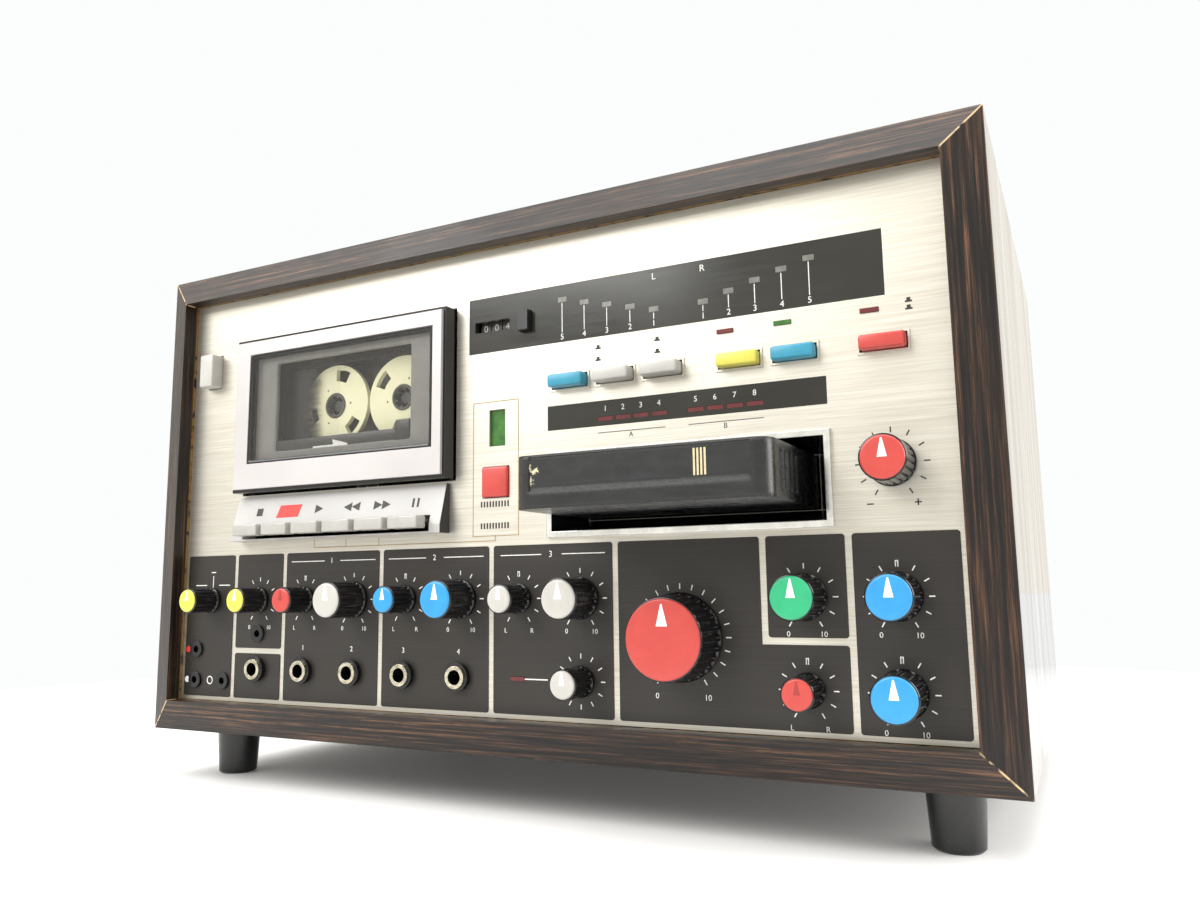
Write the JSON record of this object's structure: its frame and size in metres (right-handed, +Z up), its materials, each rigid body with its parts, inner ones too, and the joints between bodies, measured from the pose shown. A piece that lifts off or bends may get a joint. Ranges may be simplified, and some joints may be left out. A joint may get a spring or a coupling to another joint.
{
  "type": "eight track cartridge and cassette player",
  "caption": "Table-top wooden eight-track player with cassette deck, microphone mixer knobs, push buttons, lamps and jack sockets; a cartridge sits in its slot.",
  "frame": {"origin": "on the ground under the middle of the whole player, cartridge and rear bumpers included", "axes": "+Z up, the front panel looks along -Y, +X is to the right seen from the front"},
  "size_m": [0.42, 0.3272, 0.265],
  "materials": {
    "wood_veneer": "satin lacquered rosewood-coloured veneer",
    "back_board": "bare hardboard",
    "panel_aluminium": "fine horizontal brush, anodised",
    "legend_paint": "satin dark grey",
    "smoked_plastic": "polished, smoked",
    "lamp_plastic": "polished, tinted",
    "chrome_trim": "bright",
    "sheet_steel": "plain rolled",
    "black_plastic": "fine grain",
    "silver_plastic": "silver-white lacquer",
    "foot_rubber": "matte",
    "screw_steel": "plated",
    "jack_metal": "nickel plated",
    "zinc_metal": "plated",
    "circuit_board": "lacquered",
    "core_steel": "varnished laminations",
    "pulley_brass": "turned",
    "head_metal": "ground",
    "drum_plastic": "satin",
    "key_plastic": "polished",
    "yellow_plastic": "moulded, semi-gloss",
    "red_plastic": "moulded, semi-gloss",
    "white_plastic": "moulded, semi-gloss",
    "blue_plastic": "moulded, semi-gloss",
    "green_plastic": "moulded, semi-gloss",
    "cyan_plastic": "moulded, semi-gloss",
    "window_plastic": "polished, smoked, see-through",
    "cassette_plastic": "moulded",
    "reel_plastic": "moulded",
    "spindle_plastic": "moulded",
    "cartridge_plastic": "grained"
  },
  "bodies": {
    "cabinet": {"case": "wood_veneer", "back_panel": "back_board", "front_panel": "panel_aluminium", "legend_plates": "legend_paint", "display_strips": "smoked_plastic", "lamps": "lamp_plastic", "slot_bezel": "chrome_trim", "cartridge_deck": "sheet_steel", "cassette_deck": "black_plastic", "key_housing": "silver_plastic", "feet": "foot_rubber", "screws": "screw_steel", "jacks": "jack_metal", "controls": "zinc_metal", "main_board": "circuit_board", "transformer": "core_steel", "mains_inlet": "black_plastic", "drive_motor": "zinc_metal", "tape_heads": "head_metal"},
    "cassette_door": {"cassette_door": "silver_plastic", "door_window": "window_plastic", "cassette_shell": "cassette_plastic"},
    "flywheel": {"flywheel": "sheet_steel"},
    "motor_pulley": {"motor_pulley": "pulley_brass"},
    "counter_drums": {"counter_drums": "drum_plastic"},
    "stop_key": {"stop_key": "key_plastic"},
    "record_key": {"record_key": "key_plastic"},
    "play_key": {"play_key": "key_plastic"},
    "rewind_key": {"rewind_key": "key_plastic"},
    "forward_key": {"forward_key": "key_plastic"},
    "pause_key": {"pause_key": "key_plastic"},
    "mode_knob": {"mode_knob": "yellow_plastic"},
    "earphone_knob": {"earphone_knob": "yellow_plastic"},
    "pan_1_knob": {"pan_1_knob": "red_plastic"},
    "mic_1_knob": {"mic_1_knob": "white_plastic"},
    "pan_2_knob": {"pan_2_knob": "blue_plastic"},
    "mic_2_knob": {"mic_2_knob": "blue_plastic"},
    "pan_3_knob": {"pan_3_knob": "white_plastic"},
    "mic_3_knob": {"mic_3_knob": "white_plastic"},
    "tuning_knob": {"tuning_knob": "white_plastic"},
    "master_knob": {"master_knob": "red_plastic"},
    "echo_knob": {"echo_knob": "green_plastic"},
    "treble_knob": {"treble_knob": "blue_plastic"},
    "balance_knob": {"balance_knob": "red_plastic"},
    "bass_knob": {"bass_knob": "blue_plastic"},
    "speed_knob": {"speed_knob": "red_plastic"},
    "audition_button": {"audition_button": "cyan_plastic"},
    "tape_button": {"tape_button": "white_plastic"},
    "track_button": {"track_button": "white_plastic"},
    "cue_button": {"cue_button": "yellow_plastic"},
    "start_button": {"start_button": "cyan_plastic"},
    "power_button": {"power_button": "red_plastic"},
    "select_button": {"select_button": "red_plastic"},
    "source_button": {"source_button": "white_plastic"},
    "counter_reset": {"counter_reset": "black_plastic"},
    "left_reel": {"left_reel": "reel_plastic"},
    "right_reel": {"right_reel": "reel_plastic"},
    "left_spindle": {"left_spindle": "spindle_plastic"},
    "right_spindle": {"right_spindle": "spindle_plastic"},
    "cartridge": {"cartridge": "cartridge_plastic"}
  },
  "joints": [
    {"name": "door_tilt", "type": "hinge", "parent": "cabinet", "child": "cassette_door", "pos_m": [0, -0.11855, 0.1475], "axis": [1, 0, 0], "range_deg": [0, 20]},
    {"name": "left_reel_spin", "type": "hinge", "parent": "cassette_door", "child": "left_reel", "pos_m": [-0.09845, -0.11155, 0.1867], "axis": [0, 1, 0], "continuous": true},
    {"name": "left_spindle_spin", "type": "hinge", "parent": "cabinet", "child": "left_spindle", "pos_m": [-0.09845, -0.10455, 0.1867], "axis": [0, 1, 0], "continuous": true},
    {"name": "right_reel_spin", "type": "hinge", "parent": "cassette_door", "child": "right_reel", "pos_m": [-0.05595, -0.11155, 0.1867], "axis": [0, 1, 0], "continuous": true},
    {"name": "right_spindle_spin", "type": "hinge", "parent": "cabinet", "child": "right_spindle", "pos_m": [-0.05595, -0.10455, 0.1867], "axis": [0, 1, 0], "continuous": true},
    {"name": "counter_spin", "type": "hinge", "parent": "cabinet", "child": "counter_drums", "pos_m": [-0.0015, -0.10825, 0.2131], "axis": [1, 0, 0], "continuous": true},
    {"name": "flywheel_spin", "type": "hinge", "parent": "cabinet", "child": "flywheel", "pos_m": [0.0583, -0.03965, 0.109], "axis": [0, 0, 1], "continuous": true},
    {"name": "pulley_spin", "type": "hinge", "parent": "cabinet", "child": "motor_pulley", "pos_m": [0.1173, -0.03965, 0.109], "axis": [0, 0, 1], "continuous": true},
    {"name": "cartridge_slide", "type": "slide", "parent": "cabinet", "child": "cartridge", "axis": [0, -1, 0], "range_m": [0, 0.085]},
    {"name": "stop_press", "type": "hinge", "parent": "cabinet", "child": "stop_key", "pos_m": [-0.13775, -0.07755, 0.124], "axis": [1, 0, 0], "range_deg": [0, 5], "stiffness_Nm_per_rad": 2},
    {"name": "record_press", "type": "hinge", "parent": "cabinet", "child": "record_key", "pos_m": [-0.11815, -0.07755, 0.124], "axis": [1, 0, 0], "range_deg": [0, 5], "stiffness_Nm_per_rad": 2},
    {"name": "play_press", "type": "hinge", "parent": "cabinet", "child": "play_key", "pos_m": [-0.09855, -0.07755, 0.124], "axis": [1, 0, 0], "range_deg": [0, 5], "stiffness_Nm_per_rad": 2},
    {"name": "rewind_press", "type": "hinge", "parent": "cabinet", "child": "rewind_key", "pos_m": [-0.07895, -0.07755, 0.124], "axis": [1, 0, 0], "range_deg": [0, 5], "stiffness_Nm_per_rad": 2},
    {"name": "forward_press", "type": "hinge", "parent": "cabinet", "child": "forward_key", "pos_m": [-0.05935, -0.07755, 0.124], "axis": [1, 0, 0], "range_deg": [0, 5], "stiffness_Nm_per_rad": 2},
    {"name": "pause_press", "type": "hinge", "parent": "cabinet", "child": "pause_key", "pos_m": [-0.03975, -0.07755, 0.124], "axis": [1, 0, 0], "range_deg": [0, 5], "stiffness_Nm_per_rad": 2},
    {"name": "audition_push", "type": "slide", "parent": "cabinet", "child": "audition_button", "axis": [0, 1, 0], "range_m": [0, 0.003], "stiffness_N_per_m": 300},
    {"name": "tape_push", "type": "slide", "parent": "cabinet", "child": "tape_button", "axis": [0, 1, 0], "range_m": [0, 0.003], "stiffness_N_per_m": 300},
    {"name": "track_push", "type": "slide", "parent": "cabinet", "child": "track_button", "axis": [0, 1, 0], "range_m": [0, 0.003], "stiffness_N_per_m": 300},
    {"name": "cue_push", "type": "slide", "parent": "cabinet", "child": "cue_button", "axis": [0, 1, 0], "range_m": [0, 0.003], "stiffness_N_per_m": 300},
    {"name": "start_push", "type": "slide", "parent": "cabinet", "child": "start_button", "axis": [0, 1, 0], "range_m": [0, 0.003], "stiffness_N_per_m": 300},
    {"name": "power_push", "type": "slide", "parent": "cabinet", "child": "power_button", "axis": [0, 1, 0], "range_m": [0, 0.003], "stiffness_N_per_m": 300},
    {"name": "select_push", "type": "slide", "parent": "cabinet", "child": "select_button", "axis": [0, 1, 0], "range_m": [0, 0.001], "stiffness_N_per_m": 300},
    {"name": "source_push", "type": "slide", "parent": "cabinet", "child": "source_button", "axis": [0, 1, 0], "range_m": [0, 0.004], "stiffness_N_per_m": 300},
    {"name": "counter_reset_press", "type": "slide", "parent": "cabinet", "child": "counter_reset", "axis": [0, 1, 0], "range_m": [0, 0.0024], "stiffness_N_per_m": 300},
    {"name": "mode_turn", "type": "hinge", "parent": "cabinet", "child": "mode_knob", "pos_m": [-0.174, -0.11955, 0.0907], "axis": [0, 1, 0], "range_deg": [-45, 45]},
    {"name": "earphone_turn", "type": "hinge", "parent": "cabinet", "child": "earphone_knob", "pos_m": [-0.1404, -0.11955, 0.0907], "axis": [0, 1, 0], "range_deg": [-150, 150]},
    {"name": "pan_1_turn", "type": "hinge", "parent": "cabinet", "child": "pan_1_knob", "pos_m": [-0.11, -0.11955, 0.0907], "axis": [0, 1, 0], "range_deg": [-150, 150]},
    {"name": "mic_1_turn", "type": "hinge", "parent": "cabinet", "child": "mic_1_knob", "pos_m": [-0.0792, -0.11955, 0.0907], "axis": [0, 1, 0], "range_deg": [-150, 150]},
    {"name": "pan_2_turn", "type": "hinge", "parent": "cabinet", "child": "pan_2_knob", "pos_m": [-0.0485, -0.11955, 0.0907], "axis": [0, 1, 0], "range_deg": [-150, 150]},
    {"name": "mic_2_turn", "type": "hinge", "parent": "cabinet", "child": "mic_2_knob", "pos_m": [-0.0178, -0.11955, 0.0907], "axis": [0, 1, 0], "range_deg": [-150, 150]},
    {"name": "pan_3_turn", "type": "hinge", "parent": "cabinet", "child": "pan_3_knob", "pos_m": [0.0127, -0.11955, 0.0907], "axis": [0, 1, 0], "range_deg": [-150, 150]},
    {"name": "mic_3_turn", "type": "hinge", "parent": "cabinet", "child": "mic_3_knob", "pos_m": [0.0427, -0.11955, 0.0907], "axis": [0, 1, 0], "range_deg": [-150, 150]},
    {"name": "tuning_turn", "type": "hinge", "parent": "cabinet", "child": "tuning_knob", "pos_m": [0.0427, -0.11955, 0.057], "axis": [0, 1, 0], "range_deg": [-150, 150]},
    {"name": "master_turn", "type": "hinge", "parent": "cabinet", "child": "master_knob", "pos_m": [0.0873, -0.11955, 0.0755], "axis": [0, 1, 0], "range_deg": [-150, 150]},
    {"name": "echo_turn", "type": "hinge", "parent": "cabinet", "child": "echo_knob", "pos_m": [0.137, -0.11955, 0.0907], "axis": [0, 1, 0], "range_deg": [-150, 150]},
    {"name": "treble_turn", "type": "hinge", "parent": "cabinet", "child": "treble_knob", "pos_m": [0.1706, -0.11955, 0.0907], "axis": [0, 1, 0], "range_deg": [-150, 150]},
    {"name": "balance_turn", "type": "hinge", "parent": "cabinet", "child": "balance_knob", "pos_m": [0.137, -0.11955, 0.057], "axis": [0, 1, 0], "range_deg": [-150, 150]},
    {"name": "bass_turn", "type": "hinge", "parent": "cabinet", "child": "bass_knob", "pos_m": [0.1706, -0.11955, 0.057], "axis": [0, 1, 0], "range_deg": [-150, 150]},
    {"name": "speed_turn", "type": "hinge", "parent": "cabinet", "child": "speed_knob", "pos_m": [0.171, -0.11955, 0.1384], "axis": [0, 1, 0], "range_deg": [-30, 30]}
  ],
  "couplings": [
    {"joint": "left_spindle_spin", "follows": "left_reel_spin", "ratio": 1},
    {"joint": "right_spindle_spin", "follows": "right_reel_spin", "ratio": 1},
    {"joint": "counter_spin", "follows": "right_reel_spin", "ratio": 0.05},
    {"joint": "pulley_spin", "follows": "flywheel_spin", "ratio": 6}
  ]
}
